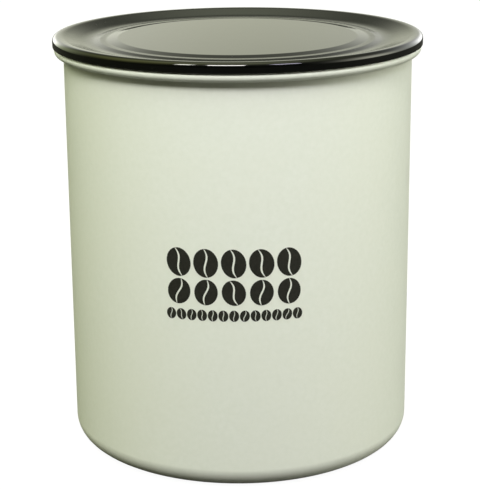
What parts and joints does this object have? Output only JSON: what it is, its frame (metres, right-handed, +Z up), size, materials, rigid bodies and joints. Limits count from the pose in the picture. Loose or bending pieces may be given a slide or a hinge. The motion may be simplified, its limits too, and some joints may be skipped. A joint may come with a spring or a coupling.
{
  "type": "coffee canister",
  "caption": "Round drawn-steel coffee canister with a rolled rim, a black moulded outer lid and a sliding inner plunger lid whose folding handle opens an air valve.",
  "frame": {"origin": "centre of the base, on the surface it stands on", "axes": "+Z up along the can, -Y towards the printed front, +X to the right seen from the front"},
  "size_m": [0.179, 0.179, 0.203],
  "materials": {
    "powder_coated_steel": "satin powder coat, pale grey-green",
    "gloss_black_plastic": "high gloss",
    "silicone": "soft matt, slightly milky",
    "plunger_plastic": "fine moulded texture",
    "bearing_plastic": "natural, slightly waxy",
    "grip_plastic": "soft matt",
    "stainless_steel": "brushed",
    "spring_steel": "bright drawn"
  },
  "bodies": {
    "canister": {"canister_body": "powder_coated_steel"},
    "outer_lid": {"outer_lid": "gloss_black_plastic", "outer_lid_seal": "silicone"},
    "plunger": {"plunger_plate": "plunger_plastic", "plunger_gasket": "silicone", "gasket_clamp_ring": "plunger_plastic", "clamp_ring_screws": "stainless_steel", "pivot_bracket_left": "stainless_steel", "pivot_bracket_right": "stainless_steel", "bracket_screws": "stainless_steel", "pivot_bush_left": "bearing_plastic", "pivot_bush_right": "bearing_plastic", "valve_cage": "plunger_plastic", "vent_screen": "stainless_steel", "valve_spring": "spring_steel"},
    "handle": {"handle_bail": "stainless_steel", "handle_grip": "grip_plastic", "pivot_pin": "stainless_steel", "pin_clip": "spring_steel", "valve_cam": "bearing_plastic"},
    "valve": {"valve_stem": "stainless_steel", "valve_disc": "silicone", "valve_washer": "stainless_steel", "valve_clip": "spring_steel"}
  },
  "joints": [
    {"name": "outer_lid_lift", "type": "slide", "parent": "canister", "child": "outer_lid", "axis": [0, 0, 1], "range_m": [0, 0.12]},
    {"name": "plunger_slide", "type": "slide", "parent": "canister", "child": "plunger", "axis": [0, 0, 1], "range_m": [-0.108, 0]},
    {"name": "handle_fold", "type": "hinge", "parent": "plunger", "child": "handle", "pos_m": [0, 0, 0.142], "axis": [-1, 0, 0], "range_deg": [0, 90]},
    {"name": "valve_slide", "type": "slide", "parent": "plunger", "child": "valve", "axis": [0, 0, -1], "range_m": [0, 0.0021], "deforming": ["valve_spring"]}
  ],
  "couplings": [
    {"joint": "valve_slide", "follows": "handle_fold", "m_per_rad": 0.0012732}
  ]
}
